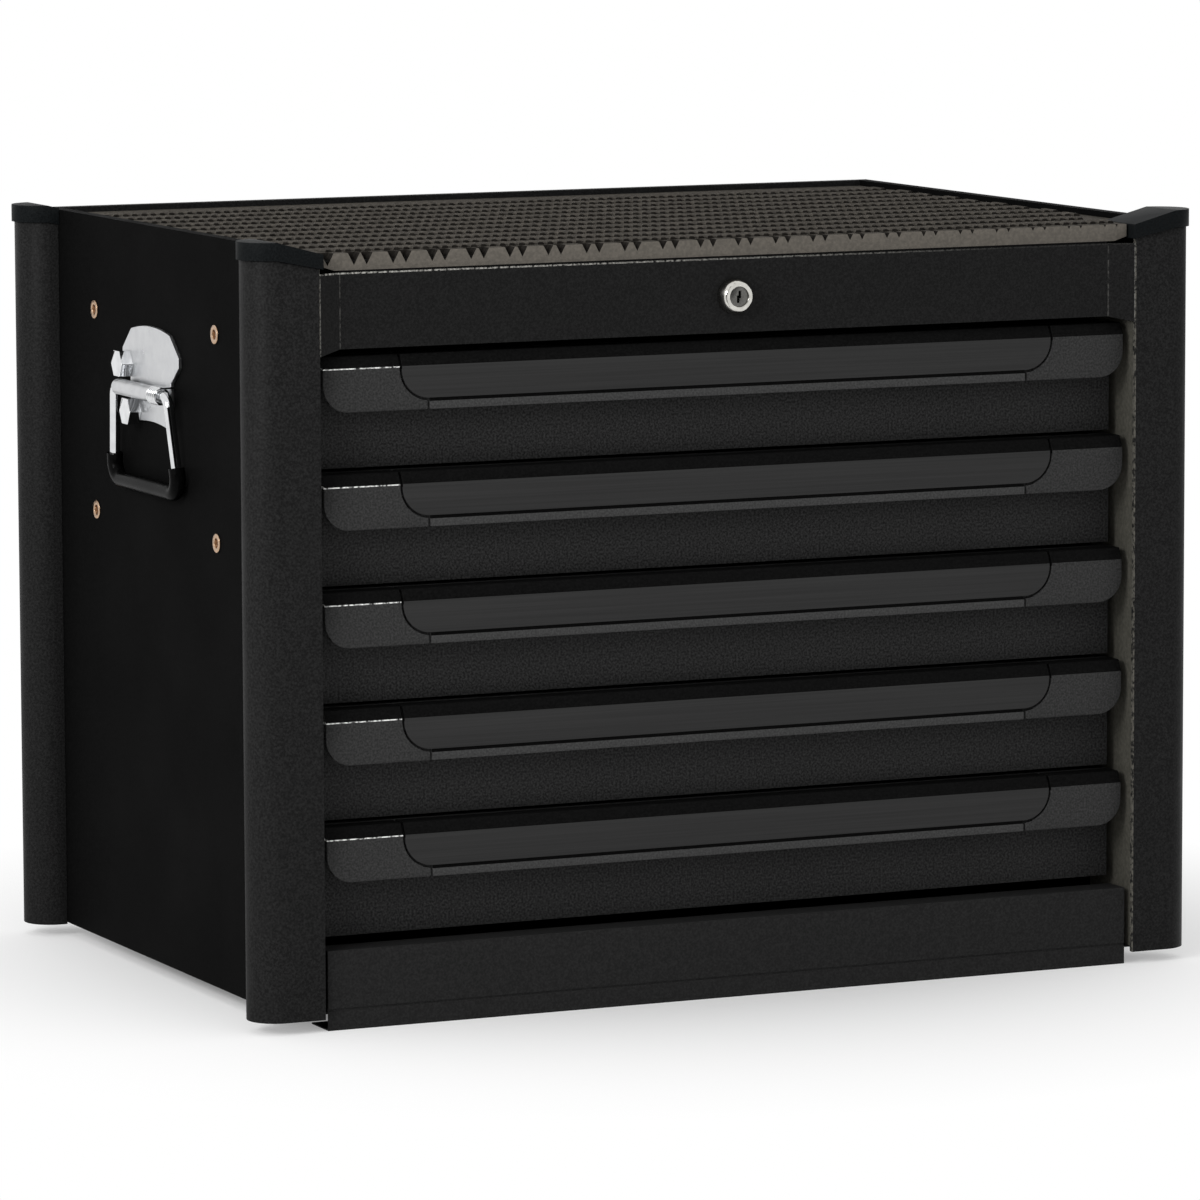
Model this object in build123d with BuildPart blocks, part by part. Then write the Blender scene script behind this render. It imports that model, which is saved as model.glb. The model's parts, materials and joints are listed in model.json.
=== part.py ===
from build123d import *
import math
import os

# Steel tool chest with five drawers on telescopic slides, a centre lock and a sprung bail on each side.
# Millimetres, +Z up, front towards -Y, origin on the floor under the middle of the chest.

# Overall size
post_span_x = 708.0  # across the outer faces of the corner posts
post_span_y = 476.0
chest_height = 530.0  # floor to the top of the post caps
sheet = 1.2  # steel sheet of the cabinet
butt_gap = 0.3  # left where two painted pieces butt together
overrun = 6.0  # how far a cut runs past the faces that it opens

# Corner posts and their caps
post_face = 48.0  # inner edge to outer face
post_outer_r = 20.0  # outer side is a half round
post_wall = 1.5
post_return = 4.0  # inner edge turned back
post_floor_gap = 8.6
cap_overhang = 2.0
cap_thick = 12.0
cap_fall = 8.8  # how far the cap slopes down towards the middle of the chest
cap_under_fall = 6.8
cap_fall_run = 33.0
cap_left_drop = 2.0  # rear left cap below the front ones
cap_right_drop = 9.0
cap_plug_depth = 8.0
cap_plug_gap = 0.5

# Side, back, top and base panels
side_inset = 25.0  # side panel behind the posts' outer faces
back_inset = 10.0
panel_floor_gap = 10.0
rim_drop = 5.0  # rim below the cap tops
rim_width = 9.0
rim_lip = 20.0
foot_flange = 25.0
top_drop = 9.0  # top panel below the rim
top_flange = 16.0
base_lip = 28.0

# Rubber mat on the top
mat_thick = 5.0
mat_gap = 1.0
apron_thick = 2.2
apron_drop = 11.5
apron_end_gap = 3.7  # apron's end to the post's inner edge
apron_corner_x = 9.3
apron_corner_z = 3.0
notch_width = 9.0
notch_depth = 8.5
notch_cut = 9.0  # how far a notch runs back into the mat
notch_pair = 9.2  # between the two notches of a pair
notch_pitch = 28.2
notch_last_share = 0.2  # depth of the notch at the right end, against the left end

# Fascia above the drawers
fascia_setback = 8.0
fascia_wing = 17.4  # width of each slanted end
fascia_drop = 22.0  # fascia's top edge below the cap tops
fascia_height = 51.0
fascia_flare = 4.0  # how far the slanted ends' low edges fall towards the posts
fascia_flange = 24.0
fascia_gap = 4.9  # above the top drawer's front

# Front plinth and rear foot rail
plinth_setback = 5.0
plinth_end_gap = 3.5
plinth_height = 54.2
plinth_top_flange = 22.0
plinth_foot_flange = 30.0
plinth_strip = 13.3  # height of the strip below the groove
groove_height = 1.4
groove_depth = 0.8
groove_lap = 1.2
rear_rail_depth = 30.0

# Uprights that carry the slides
upright_step = 0.5  # web outboard of the post's inner edge
upright_wall = 1.5
front_upright_depth = 60.0
rear_upright_depth = 36.0

# Drawers
drawer_count = 5
drawer_gap = 2.5  # between one front and the next
drawer_front_setback = 26.5
drawer_side_gap = 6.9  # front's edge to the upright
drawer_floor_gap = 5.9  # bottom drawer's front above the plinth
drawer_front_flange = 11.5
drawer_sheet = 1.0
tray_lift = 4.0
tray_drop = 14.4  # tray's edge below the front's top edge
tray_back_gap = 37.1  # room behind the tray for the lock bar
tray_hem = 5.0

# Telescopic slides
slide_space = 13.0  # upright to tray
slide_front_gap = 14.0  # behind the drawer front's face
slide_back_gap = 19.3
rail_gauge = 1.2
rail_gap = 0.5
rail_height = 36.0
outer_rail_width = 10.0

# Drawer pulls
pull_proud = 18.0
pull_overhang = 1.4  # past each edge of the drawer front
pull_band = 8.0  # leaning band above the face
pull_lean = 4.0
pull_face = 22.0
pull_groove = 2.0
pull_groove_depth = 1.5
pull_lip = 5.5
pull_wall = 2.5
pull_back_wall = 2.0
pull_back_height = 18.0
pull_end_length = 57.0
pull_end_wall = 2.0
pull_end_r = 18.0
pull_joint_r = 20.0
pull_joint_gap = 1.5

# Lock
lock_drop = 26.0  # below the fascia's top edge
lock_bore_r = 7.0
lock_barrel_r = 9.0
lock_running_gap = 0.05
lock_hole_gap = 0.1
lock_barrel_length = 24.0
bezel_r = 12.4
bezel_nose_r = 9.6
bezel_proud = 9.6
bezel_base = 2.5
lock_face_recess = 0.8
lock_tail = 6.0  # cylinder's tail behind the barrel
keyway_width = 1.7
keyway_height = 5.0
keyway_jog = 0.6
keyway_depth = 14.0
lock_nut_flats = 24.0
lock_nut_thick = 5.0
rod_r = 3.0
crank_length = 10.0
crank_angle = 45.0  # crank above the level at rest, and as far below it when locked
crank_width = 9.0
crank_thick = 3.0
crank_gap = 4.0
crank_pin_r = 2.5
crank_slot_gap = 0.75
hanger_width = 20.0
hanger_thick = 3.0
hanger_below = 8.0
hanger_setback = 42.0  # in front of the tray's back wall
bar_half = 9.0
bar_thick = 2.0
bar_gap = 17.0  # behind the trays
bar_edge = 3.0
finger_half = 5.5
finger_gap = 1.5
finger_thick = 4.0
finger_arm = 2.0
finger_rest = 0.4  # arm above the tray's edge when locked
guide_half = 20.0
guide_wall = 2.1
guide_gap = 0.4
guide_height = 12.0
guide_lift = 10.0

# Handle on each side
handle_y = 10.0
handle_drop = 119.0  # pivot below the cap tops
handle_plate = 3.0
handle_shield_half = 54.0
handle_shield_low = 20.0
handle_shield_high = 26.5
handle_top_half = 37.0
handle_top_z = 41.0
handle_crown = 3.7
handle_waist_half = 39.0
handle_waist_z = 8.0
handle_bottom_z = 25.0
handle_hollow = 3.8
pivot_out = 10.0  # pivot's axis from the side panel
barrel_r = 5.6
barrel_web = 4.0
barrel_front = 24.0
barrel_rear = 44.0
bail_r = 3.6
bail_running_gap = 0.05
bail_top_half = 51.0
bail_bottom_half = 63.0
bail_drop = 66.0
bail_shoulder_r = 8.0
bail_corner_r = 12.0
bail_seat = 18.0  # length of each end inside the barrel
bail_lean = 3.2  # degrees towards the panel
grip_r = 5.6
grip_bore_gap = 0.02
grip_leg = 18.0
spring_wire_r = 0.9
spring_coil_r = 5.6
spring_pitch = 3.4
spring_turns = 4
spring_end_gap = 0.6
spring_samples = 48  # points measured along each quarter turn
bolt_r = 4.0
bolt_hole_gap = 0.3
bolt_flats = 18.0
bolt_head = 9.0
bolt_tail = 9.0
bolt_nut = 6.0
bolt_upper_y = 43.0
bolt_lower_y = 28.0
bolt_z = 16.0

# Rivet nuts around the handle
nut_span_y = 232.0
nut_span_z = 142.0
nut_below_pivot = 23.0
nut_flange_r = 6.5
nut_flange = 1.0
nut_barrel_r = 4.8
nut_length = 15.0
nut_bore_r = 3.4
nut_hole_gap = 0.05

# Places that several pieces share
half_x = post_span_x / 2
half_y = post_span_y / 2
post_inner_x = half_x - post_face
post_side = 2 * post_outer_r
post_inner_y = half_y - post_side
side_x = half_x - side_inset
side_inner_x = side_x - sheet
back_y = half_y - back_inset
back_inner_y = back_y - sheet
cap_inner_x = post_inner_x - cap_overhang
cap_inner_y = post_inner_y - cap_overhang
cap_ridge_x = cap_inner_x + cap_fall_run
cap_under_z = chest_height - cap_thick
cap_low_z = cap_under_z - cap_under_fall
shoulder_z = cap_low_z - butt_gap
rim_end_x = cap_inner_x - butt_gap
rim_end_y = cap_inner_y - butt_gap
rim_z = chest_height - rim_drop
rim_inner_x = side_x - rim_width
rim_inner_y = back_y - rim_width
top_z = rim_z - top_drop
top_under_z = top_z - sheet
top_flange_z = top_z - top_flange
base_under_z = panel_floor_gap + sheet
base_z = base_under_z + sheet
fascia_y = -half_y + fascia_setback
fascia_back_y = fascia_y + sheet
fascia_top_z = chest_height - fascia_drop
fascia_low_z = fascia_top_z - fascia_height
fascia_corner_x = post_inner_x - fascia_wing
plinth_y = -half_y + plinth_setback
plinth_half = post_inner_x - plinth_end_gap
groove_back_y = plinth_y + groove_depth + sheet
upright_x = post_inner_x + upright_step
upright_front_y = -half_y + post_return
front_y = -half_y + drawer_front_setback
front_half = upright_x - drawer_side_gap
tray_half = upright_x - slide_space
tray_front_y = front_y + sheet
tray_back_y = back_inner_y - tray_back_gap
drawer_low_z = plinth_height + drawer_floor_gap
drawer_high_z = fascia_low_z - fascia_gap
drawer_pitch = (drawer_high_z - drawer_low_z + drawer_gap) / drawer_count
drawer_front_height = drawer_pitch - drawer_gap
tray_height = drawer_front_height - tray_lift - tray_drop
tray_top = tray_lift + tray_height
slide_lift = tray_lift + tray_height / 2
slide_front_y = front_y + slide_front_gap
slide_back_y = back_inner_y - slide_back_gap
lock_z = fascia_top_z - lock_drop
lock_front_y = fascia_y - bezel_proud
lock_tail_y = fascia_y + lock_barrel_length + lock_tail
bar_y = tray_back_y + bar_gap
crank_y = bar_y - crank_gap
crank_reach = crank_length * math.cos(math.radians(crank_angle))
crank_rise = crank_length * math.sin(math.radians(crank_angle))
finger_y = tray_back_y - drawer_sheet - finger_gap
pivot_x = side_x + pivot_out
handle_pivot_z = chest_height - handle_drop
lock_plane = Plane(origin=(0, fascia_y, lock_z), x_dir=(1, 0, 0), z_dir=(0, -1, 0))
handle_plane = Plane(origin=(side_x, handle_y, handle_pivot_z), x_dir=(0, 1, 0), z_dir=(1, 0, 0))
nut_plane = Plane(
    origin=(side_x, handle_y, handle_pivot_z - nut_below_pivot), x_dir=(0, 1, 0), z_dir=(1, 0, 0)
)
bolt_places = [(bolt_upper_y, bolt_z), (bolt_lower_y, -bolt_z)]


def slab(x, y, z, mode=Mode.ADD):
    """Add a block between the limits x, y and z to the open part, or cut it away."""
    with Locations((sum(x) / 2, sum(y) / 2, sum(z) / 2)):
        Box(x[1] - x[0], y[1] - y[0], z[1] - z[0], mode=mode)


def both_ways(half):
    """Limits that run as far to each side of the middle."""
    return (-half, half)


def save(piece, name):
    """Label a finished piece and write it to its file."""
    piece.part.label = name
    export_step(piece.part, f"parts/{name}.step")


os.makedirs("parts", exist_ok=True)

# Corner posts: a bent sheet section, open towards the cabinet, with its top cut to the cap's slope.
post_round = (half_x - post_outer_r, post_outer_r - half_y)
post_flat = post_face - post_outer_r


def corner_post(drop):
    """Build the front right post with its top lowered by drop."""
    with BuildPart() as post:
        with BuildSketch(Plane.XY.offset(post_floor_gap)):
            with Locations(post_round):
                Rectangle(post_flat, post_side, align=(Align.MAX, Align.CENTER))
                Circle(post_outer_r)
                Rectangle(
                    post_flat - post_wall,
                    post_side - 2 * post_wall,
                    align=(Align.MAX, Align.CENTER),
                    mode=Mode.SUBTRACT,
                )
                Circle(post_outer_r - post_wall, mode=Mode.SUBTRACT)
            with Locations((post_inner_x - overrun, post_return - half_y)):
                Rectangle(
                    side_x - post_inner_x + overrun,
                    post_side + overrun,
                    align=(Align.MIN, Align.MIN),
                    mode=Mode.SUBTRACT,
                )
        extrude(amount=cap_under_z - drop - post_floor_gap)
        with BuildSketch(Plane.XZ):
            with BuildLine():
                Polyline(
                    (cap_inner_x, cap_low_z - drop),
                    (cap_ridge_x, cap_under_z - drop),
                    (cap_inner_x, cap_under_z - drop),
                    close=True,
                )
            make_face()
        extrude(amount=half_y + overrun, mode=Mode.SUBTRACT)
    return post


front_right_post = corner_post(0)
save(front_right_post, "front_right_post")

with BuildPart() as front_left_post:
    mirror(front_right_post.part, about=Plane.YZ)
save(front_left_post, "front_left_post")

with BuildPart() as rear_right_post:
    mirror(corner_post(cap_right_drop).part, about=Plane.XZ)
save(rear_right_post, "rear_right_post")

with BuildPart() as rear_left_post:
    mirror(mirror(corner_post(cap_left_drop).part, about=Plane.XZ, mode=Mode.PRIVATE), about=Plane.YZ)
save(rear_left_post, "rear_left_post")

# Post caps: moulded plastic, flat over the post's outer part and sloping down towards the middle. The rear
# caps are cut round the corner of the side and back panels.
with BuildPart() as front_cap:
    with BuildSketch(Plane.XZ):
        with BuildLine():
            Polyline(
                (cap_inner_x, cap_low_z),
                (cap_ridge_x, cap_under_z),
                (half_x + cap_overhang, cap_under_z),
                (half_x + cap_overhang, chest_height),
                (cap_ridge_x, chest_height),
                (cap_inner_x, chest_height - cap_fall),
                close=True,
            )
        make_face()
    extrude(amount=half_y + cap_overhang)
    with BuildSketch(Plane.XY.offset(cap_low_z - overrun)):
        with Locations(post_round):
            Rectangle(
                post_flat + cap_overhang, post_side + 2 * cap_overhang, align=(Align.MAX, Align.CENTER)
            )
            Circle(post_outer_r + cap_overhang)
    extrude(amount=chest_height + overrun - cap_low_z, mode=Mode.INTERSECT)
    slab(
        (side_x + cap_plug_gap, half_x - post_outer_r),
        (post_wall + cap_plug_gap - half_y, -post_inner_y - post_wall - cap_plug_gap),
        (cap_under_z - cap_plug_depth, cap_under_z),
    )

with BuildPart() as rear_cap:
    mirror(front_cap.part, about=Plane.XZ)
    slab(
        (cap_inner_x - overrun, side_x + butt_gap),
        (cap_inner_y - overrun, back_y + butt_gap),
        (cap_low_z - overrun, chest_height + overrun),
        mode=Mode.SUBTRACT,
    )

with BuildPart() as post_caps:
    add(front_cap.part)
    mirror(front_cap.part, about=Plane.YZ)
    add(rear_cap.part.moved(Location((0, 0, -cap_right_drop))))
    mirror(rear_cap.part.moved(Location((0, 0, -cap_left_drop))), about=Plane.YZ)
save(post_caps, "post_caps")

# Side panels: sheet walls folded in at the foot and over at the rim, pierced for the handle and rivet nuts.
with BuildPart() as right_side_panel:
    rim_y = (-rim_end_y, back_inner_y)
    slab((side_inner_x, side_x), (upright_front_y, back_y), (panel_floor_gap, shoulder_z))
    slab((side_inner_x, side_x), (-rim_end_y, back_y), (shoulder_z, rim_z))
    slab((rim_inner_x, side_x), rim_y, (rim_z - sheet, rim_z))
    slab((rim_inner_x, rim_inner_x + sheet), rim_y, (rim_z - rim_lip, rim_z))
    slab((side_x - foot_flange, side_x), both_ways(post_inner_y), (panel_floor_gap, base_under_z))
    with BuildSketch(nut_plane):
        with GridLocations(nut_span_y, nut_span_z, 2, 2):
            Circle(nut_barrel_r + nut_hole_gap)
    extrude(amount=-sheet, mode=Mode.SUBTRACT)
    with BuildSketch(handle_plane):
        with Locations(bolt_places):
            Circle(bolt_r + bolt_hole_gap)
    extrude(amount=-sheet, mode=Mode.SUBTRACT)
save(right_side_panel, "right_side_panel")

with BuildPart() as left_side_panel:
    mirror(right_side_panel.part, about=Plane.YZ)
save(left_side_panel, "left_side_panel")

# Back panel: between the side panels, with the same folded foot and rim.
with BuildPart() as back_panel:
    slab(both_ways(side_inner_x), (back_inner_y, back_y), (panel_floor_gap, rim_z))
    slab(both_ways(rim_inner_x), (rim_inner_y, back_y), (rim_z - sheet, rim_z))
    slab(both_ways(rim_inner_x), (rim_inner_y, rim_inner_y + sheet), (rim_z - rim_lip, rim_z))
    slab(both_ways(plinth_half), (back_y - foot_flange, back_y), (panel_floor_gap, base_under_z))
save(back_panel, "back_panel")

# Top panel: a sunk tray floor, cut back at the front corners for the caps, its edges folded down.
with BuildPart() as top_panel:
    top_y = (-rim_end_y, rim_inner_y)
    slab(both_ways(rim_end_x), (fascia_back_y, -rim_end_y), (top_under_z, top_z))
    slab(both_ways(rim_inner_x), top_y, (top_under_z, top_z))
    slab(both_ways(fascia_corner_x), (fascia_back_y, fascia_back_y + sheet), (top_flange_z, top_z))
    slab(both_ways(rim_inner_x), (rim_inner_y - sheet, rim_inner_y), (top_flange_z, top_z))
    for side in (-1, 1):
        flange_x = sorted((side * rim_inner_x, side * (rim_inner_x - sheet)))
        slab(flange_x, top_y, (top_flange_z, top_z))
save(top_panel, "top_panel")

# Base panel: rests on the folded feet of the sides and back, its front edge turned up behind the plinth.
with BuildPart() as base_panel:
    slab(both_ways(side_inner_x), (groove_back_y, back_inner_y), (base_under_z, base_z))
    slab(both_ways(plinth_half), (groove_back_y, groove_back_y + sheet), (base_under_z, base_z + base_lip))
save(base_panel, "base_panel")

# Front plinth: a channel rail with a pressed groove above its foot strip.
with BuildPart() as front_plinth:
    slab(both_ways(plinth_half), (plinth_y, plinth_y + sheet), (0, plinth_strip))
    slab(
        both_ways(plinth_half),
        (plinth_y, plinth_y + sheet),
        (plinth_strip + groove_height, plinth_height),
    )
    slab(
        both_ways(plinth_half),
        (plinth_y + groove_depth, groove_back_y),
        (plinth_strip - groove_lap, plinth_strip + groove_height + groove_lap),
    )
    slab(
        both_ways(plinth_half),
        (plinth_y, plinth_y + plinth_top_flange),
        (plinth_height - sheet, plinth_height),
    )
    slab(both_ways(plinth_half), (plinth_y, plinth_y + plinth_foot_flange), (0, sheet))
save(front_plinth, "front_plinth")

# Rear foot rail: a low channel under the base panel, as high as the gap there.
with BuildPart() as rear_foot_rail:
    rail_back_y = back_y - foot_flange - butt_gap
    flange_y = (rail_back_y - rear_rail_depth, rail_back_y)
    slab(both_ways(plinth_half), flange_y, (0, sheet))
    slab(both_ways(plinth_half), flange_y, (base_under_z - sheet, base_under_z))
    slab(both_ways(plinth_half), (rail_back_y - sheet, rail_back_y), (0, base_under_z))
save(rear_foot_rail, "rear_foot_rail")

# Uprights: channels between the base and the top panel's flanges, whose webs carry the slides.
with BuildPart() as front_uprights:
    upright_z = (base_z, top_flange_z)
    upright_back_y = upright_front_y + front_upright_depth
    slab((upright_x, upright_x + upright_wall), (upright_front_y, upright_back_y), upright_z)
    slab((upright_x, side_inner_x), (upright_front_y, upright_front_y + upright_wall), upright_z)
    slab((upright_x, side_inner_x), (upright_back_y - upright_wall, upright_back_y), upright_z)
    mirror(about=Plane.YZ)
save(front_uprights, "front_uprights")

with BuildPart() as rear_uprights:
    rear_front_y = back_inner_y - rear_upright_depth
    slab((upright_x, upright_x + upright_wall), (rear_front_y, back_inner_y), upright_z)
    slab((upright_x, side_inner_x), (rear_front_y, rear_front_y + upright_wall), upright_z)
    slab((upright_x, side_inner_x), (back_inner_y - upright_wall, back_inner_y), upright_z)
    mirror(about=Plane.YZ)
save(rear_uprights, "rear_uprights")

# Fascia: a flat sheet above the drawers with ends that slant forward to the posts, pierced for the lock.
with BuildPart() as front_fascia:
    with BuildSketch(Plane.XY.offset(fascia_low_z - fascia_flare)):
        with BuildLine():
            face_line = [
                (-post_inner_x, butt_gap - half_y),
                (-fascia_corner_x, fascia_y),
                (fascia_corner_x, fascia_y),
                (post_inner_x, butt_gap - half_y),
            ]
            Polyline(*face_line, *[(x, y + sheet) for x, y in reversed(face_line)], close=True)
        make_face()
    extrude(amount=fascia_height + fascia_flare)
    with BuildSketch(Plane.XZ):
        with BuildLine():
            Polyline(
                (-post_inner_x, fascia_low_z - fascia_flare),
                (-fascia_corner_x, fascia_low_z),
                (fascia_corner_x, fascia_low_z),
                (post_inner_x, fascia_low_z - fascia_flare),
                close=True,
            )
        make_face()
    extrude(amount=half_y, mode=Mode.SUBTRACT)
    slab(
        both_ways(fascia_corner_x),
        (fascia_y, fascia_y + fascia_flange),
        (fascia_low_z, fascia_low_z + sheet),
    )
    with BuildSketch(lock_plane):
        Circle(lock_barrel_r + lock_hole_gap)
    extrude(amount=-sheet, mode=Mode.SUBTRACT)
save(front_fascia, "front_fascia")

# Mat: a rubber sheet in the sunk top, with an apron over the front edge that is notched in pairs.
with BuildPart() as top_mat:
    mat_top_z = top_z + mat_thick
    apron_half = post_inner_x - apron_end_gap
    apron_low_z = mat_top_z - apron_drop
    mat_y = (mat_gap - rim_end_y, rim_inner_y - mat_gap)
    slab(both_ways(rim_end_x - mat_gap), (fascia_back_y, mat_gap - rim_end_y), (top_z, mat_top_z))
    slab(both_ways(rim_inner_x - mat_gap), mat_y, (top_z, mat_top_z))
    with BuildSketch(Plane.XZ.offset(-fascia_back_y)):
        with BuildLine():
            Polyline(
                (-apron_half, mat_top_z),
                (-apron_half, apron_low_z + apron_corner_z),
                (apron_corner_x - apron_half, apron_low_z),
                (apron_half - apron_corner_x, apron_low_z),
                (apron_half, apron_low_z + apron_corner_z),
                (apron_half, mat_top_z),
                close=True,
            )
        make_face()
    extrude(amount=apron_thick)
    with BuildSketch(Plane.XZ.offset(apron_thick - fascia_back_y)):
        pair_count = int(2 * apron_half / notch_pitch)
        pairs = [pair * notch_pitch for pair in range(pair_count + 1)]
        places = [pair + side * notch_pair / 2 for pair in pairs for side in (-1, 1)]
        for place in places[1:]:
            notch_x = place - apron_half
            fade = 1 - (1 - notch_last_share) * place / places[-1]
            with BuildLine():
                Polyline(
                    (notch_x - fade * notch_width / 2, mat_top_z),
                    (notch_x, mat_top_z - fade * notch_depth),
                    (notch_x + fade * notch_width / 2, mat_top_z),
                    close=True,
                )
            make_face()
    extrude(amount=-notch_cut, mode=Mode.SUBTRACT)
save(top_mat, "top_mat")


def drawer_z(number):
    """Bottom edge of a drawer's front, counted from 1 at the top."""
    return drawer_low_z + (drawer_count - number) * drawer_pitch


drawer_numbers = range(1, drawer_count + 1)

# Slide rails nest in one another: each is a C channel, smaller than the one outside it by a wall and a gap.
outer_half = rail_height / 2
middle_half = outer_half - rail_gauge - rail_gap
inner_half = middle_half - rail_gauge - rail_gap
outer_lip_x = upright_x - outer_rail_width
middle_web_x = upright_x - rail_gauge - rail_gap
middle_lip_x = outer_lip_x + rail_gauge + rail_gap
inner_reach_x = middle_web_x - rail_gauge - rail_gap
slide_y = (slide_front_y, slide_back_y)


def channel(web_x, reach_x, half, centre_z):
    """Add a C channel along the slide: a web, and two flanges that run from it to reach_x."""
    web_side = math.copysign(rail_gauge, reach_x - web_x)
    slab(sorted((web_x, web_x + web_side)), slide_y, (centre_z - half, centre_z + half))
    for edge in (-half, half - rail_gauge):
        slab(sorted((web_x, reach_x)), slide_y, (centre_z + edge, centre_z + edge + rail_gauge))


with BuildPart() as slide_outer_rails:
    for number in drawer_numbers:
        slide_z = drawer_z(number) + slide_lift
        channel(upright_x, outer_lip_x, outer_half, slide_z)
        for edge in (-outer_half, inner_half + rail_gap):
            lip_height = outer_half - inner_half - rail_gap
            slab(
                (outer_lip_x, outer_lip_x + rail_gauge),
                slide_y,
                (slide_z + edge, slide_z + edge + lip_height),
            )
    mirror(about=Plane.YZ)
save(slide_outer_rails, "slide_outer_rails")

for number in drawer_numbers:
    slide_z = drawer_z(number) + slide_lift
    with BuildPart() as middle_rails:
        channel(middle_web_x, middle_lip_x, middle_half, slide_z)
        mirror(about=Plane.YZ)
    save(middle_rails, f"drawer_{number}_middle_rails")
    with BuildPart() as inner_rails:
        channel(tray_half, inner_reach_x, inner_half, slide_z)
        mirror(about=Plane.YZ)
    save(inner_rails, f"drawer_{number}_inner_rails")

# Drawers: a folded front pan welded to an open tray with hemmed edges.
for number in drawer_numbers:
    low_z = drawer_z(number)
    high_z = low_z + drawer_front_height
    tray_low_z = low_z + tray_lift
    tray_high_z = low_z + tray_top
    flange_y = (front_y, front_y + drawer_front_flange)
    tray_y = (tray_front_y, tray_back_y)
    with BuildPart() as drawer_body:
        slab(both_ways(front_half), (front_y, tray_front_y), (low_z, high_z))
        slab(both_ways(front_half), flange_y, (low_z, low_z + sheet))
        slab(both_ways(front_half), flange_y, (high_z - sheet, high_z))
        slab((front_half - sheet, front_half), flange_y, (low_z, high_z))
        slab((-front_half, sheet - front_half), flange_y, (low_z, high_z))
        slab(both_ways(tray_half), tray_y, (tray_low_z, tray_low_z + drawer_sheet))
        slab(both_ways(tray_half), (tray_back_y - drawer_sheet, tray_back_y), (tray_low_z, tray_high_z))
        for side in (-1, 1):
            wall_x = sorted((side * tray_half, side * (tray_half - drawer_sheet)))
            hem_x = sorted((side * tray_half, side * (tray_half - tray_hem)))
            slab(wall_x, tray_y, (tray_low_z, tray_high_z))
            slab(hem_x, tray_y, (tray_high_z - drawer_sheet, tray_high_z))
    save(drawer_body, f"drawer_{number}_body")

# Pulls: an aluminium profile along each front's top, open below for the fingers, between two moulded ends.
pull_y = front_y - pull_proud
pull_half = front_half + pull_overhang
pull_joint_x = pull_half - pull_end_length
end_start_x = pull_joint_x - pull_joint_r
pull_low = pull_face + pull_groove + pull_lip
lean_slope = pull_lean / pull_band
band_wall = pull_wall - lean_slope * pull_wall


groove_points = [
    (pull_y, -pull_face),
    (pull_y + pull_groove_depth, -pull_face),
    (pull_y + pull_groove_depth, -pull_face - pull_groove),
    (pull_y, -pull_face - pull_groove),
]


def pull_profile(edge_z, start_x, face_points):
    """Section of a pull across the chest at start_x, with face_points below its face's top edge at edge_z."""
    section = [
        (front_y, pull_band),
        (pull_y + pull_lean, pull_band),
        (pull_y, 0),
        *face_points,
        (pull_y, -pull_low),
        (pull_y + pull_wall, -pull_low),
        (pull_y + pull_wall, 0),
        (pull_y + pull_lean + band_wall, pull_band - pull_wall),
        (front_y - pull_back_wall, pull_band - pull_wall),
        (front_y - pull_back_wall, pull_band - pull_back_height),
        (front_y, pull_band - pull_back_height),
    ]
    with BuildSketch(Plane.YZ.offset(start_x)) as profile:
        with BuildLine():
            Polyline(*[(y, edge_z + z) for y, z in section], close=True)
        make_face()
    return profile.sketch


def joint_face(edge_z, gap):
    """Front view of the centre profile, grown by gap: its low corners are round above the lip."""
    with BuildSketch(Plane.XZ.offset(-pull_y)) as area:
        with Locations((0, edge_z + pull_band)):
            Rectangle(
                2 * (pull_joint_x + gap),
                pull_band + pull_face + gap,
                align=(Align.CENTER, Align.MAX),
            )
        fillet(area.vertices().group_by(Axis.Y)[0], radius=pull_joint_r + gap)
        with Locations((0, edge_z - pull_face + overrun)):
            Rectangle(
                2 * (end_start_x + gap),
                pull_groove + pull_lip + 2 * overrun,
                align=(Align.CENTER, Align.MAX),
            )
    return area.sketch


for number in drawer_numbers:
    edge_z = drawer_z(number) + drawer_front_height - pull_band
    with BuildPart() as pull:
        extrude(pull_profile(edge_z, -pull_joint_x, groove_points), amount=2 * pull_joint_x)
        extrude(joint_face(edge_z, 0), amount=-pull_proud, mode=Mode.INTERSECT)
    save(pull, f"drawer_{number}_pull")
    with BuildPart() as pull_ends:
        extrude(pull_profile(edge_z, end_start_x, []), amount=pull_half - end_start_x)
        extrude(joint_face(edge_z, pull_joint_gap), amount=-pull_proud, mode=Mode.SUBTRACT)
        slab(
            (pull_half - pull_end_wall, pull_half),
            (pull_y + pull_lean, front_y),
            (edge_z - pull_back_height + pull_band, edge_z + pull_band),
        )
        with BuildSketch(Plane.XZ.offset(-pull_y)) as corner:
            with Locations((pull_half, edge_z - pull_low)):
                Rectangle(pull_end_r, pull_end_r, align=(Align.MAX, Align.MIN))
            with Locations((pull_half - pull_end_r, edge_z - pull_low + pull_end_r)):
                Circle(pull_end_r, mode=Mode.SUBTRACT)
        extrude(amount=-pull_wall, mode=Mode.SUBTRACT)
        mirror(about=Plane.YZ)
    save(pull_ends, f"drawer_{number}_pull_ends")

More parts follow.
